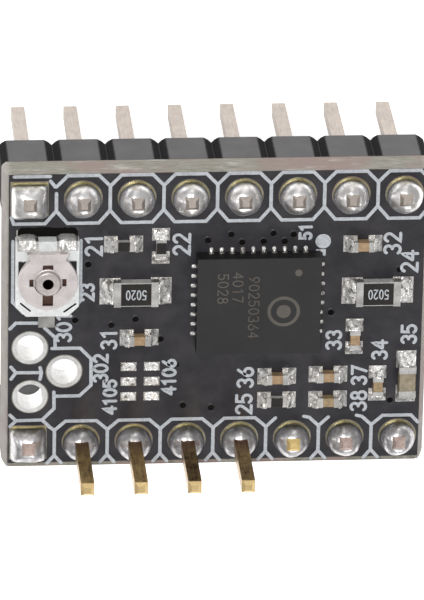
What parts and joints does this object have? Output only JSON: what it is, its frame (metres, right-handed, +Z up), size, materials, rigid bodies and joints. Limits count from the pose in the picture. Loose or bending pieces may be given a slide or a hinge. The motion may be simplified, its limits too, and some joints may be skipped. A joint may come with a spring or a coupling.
{
  "type": "stepper driver module",
  "caption": "Plug-in stepper motor driver board: driver chip, sense resistors, capacitors and a turning current trimmer between two rows of header pins.",
  "frame": {"origin": "under the middle of the board, in the plane of the tips of the downward pins", "axes": "+X along the pin rows, +Y to the row whose pins all point down, +Z up out of the component side"},
  "size_m": [0.0204, 0.0152, 0.016],
  "materials": {
    "laminate": "sawn glass-fibre laminate",
    "solder_mask": "semi-gloss black lacquer",
    "tinned_copper": "tinned copper",
    "copper": "bare copper",
    "header_plastic": "moulded, slightly rough",
    "tin_pin": "drawn square wire, tin plated",
    "gold_pin": "drawn square wire, gold flashed",
    "solder": "bright solder",
    "chip_plastic": "fine sandblasted epoxy",
    "silicon": "polished",
    "lead_metal": "tin plated",
    "bond_wire": "fine drawn wire",
    "white_ceramic": "pressed, unglazed",
    "resistive_ink": "printed and fired",
    "rotor_metal": "stamped, satin",
    "capacitor_ceramic": "fired, satin",
    "resistor_ceramic": "fired, white",
    "black_glaze": "glass coating",
    "printed_ink": "white ink screen printed on the board and on the large resistors"
  },
  "bodies": {
    "module": {"board_laminate": "laminate", "capacitor_1": "capacitor_ceramic", "capacitor_2": "capacitor_ceramic", "capacitor_3": "capacitor_ceramic", "capacitor_4": "capacitor_ceramic", "capacitor_5": "capacitor_ceramic", "capacitor_6": "capacitor_ceramic", "capacitor_7": "capacitor_ceramic", "capacitor_8": "capacitor_ceramic", "capacitor_terminals": "lead_metal", "chip_bond_wires": "bond_wire", "chip_die": "silicon", "chip_die_pad": "copper", "chip_leads": "lead_metal", "chip_mould": "chip_plastic", "chip_solder": "solder", "config_solder": "solder", "copper_pads": "copper", "front_header_body": "header_plastic", "front_header_solder": "solder", "front_pin_1": "gold_pin", "front_pin_2": "gold_pin", "front_pin_3": "gold_pin", "front_pin_4": "gold_pin", "front_pin_5": "gold_pin", "front_pin_6": "gold_pin", "front_pin_7": "gold_pin", "front_pin_8": "gold_pin", "header_hole_plating": "tinned_copper", "part_solder": "solder", "rear_header_body": "header_plastic", "rear_header_solder": "solder", "rear_pin_1": "tin_pin", "rear_pin_2": "tin_pin", "rear_pin_3": "tin_pin", "rear_pin_4": "tin_pin", "rear_pin_5": "tin_pin", "rear_pin_6": "tin_pin", "rear_pin_7": "tin_pin", "rear_pin_8": "tin_pin", "resistor_1": "resistor_ceramic", "resistor_2": "resistor_ceramic", "resistor_3": "resistor_ceramic", "resistor_coatings": "black_glaze", "resistor_terminals": "lead_metal", "sense_resistor_left": "resistor_ceramic", "sense_resistor_right": "resistor_ceramic", "solder_mask_bottom": "solder_mask", "solder_mask_top": "solder_mask", "test_hole_plating_1": "tinned_copper", "test_hole_plating_2": "tinned_copper", "test_hole_plating_3": "tinned_copper", "trimmer_base": "white_ceramic", "trimmer_left_terminal": "lead_metal", "trimmer_right_terminal": "lead_metal", "trimmer_solder": "solder", "trimmer_track": "resistive_ink", "trimmer_wiper_terminal": "lead_metal", "via_plating": "copper"},
    "trimmer_disc": {"trimmer_rotor": "rotor_metal"}
  },
  "joints": [
    {"name": "trimmer_turn", "type": "hinge", "parent": "module", "child": "trimmer_disc", "pos_m": [-0.00805, 0.00247, 0.0115], "axis": [0, 0, 1], "range_deg": [-105, 105]}
  ]
}
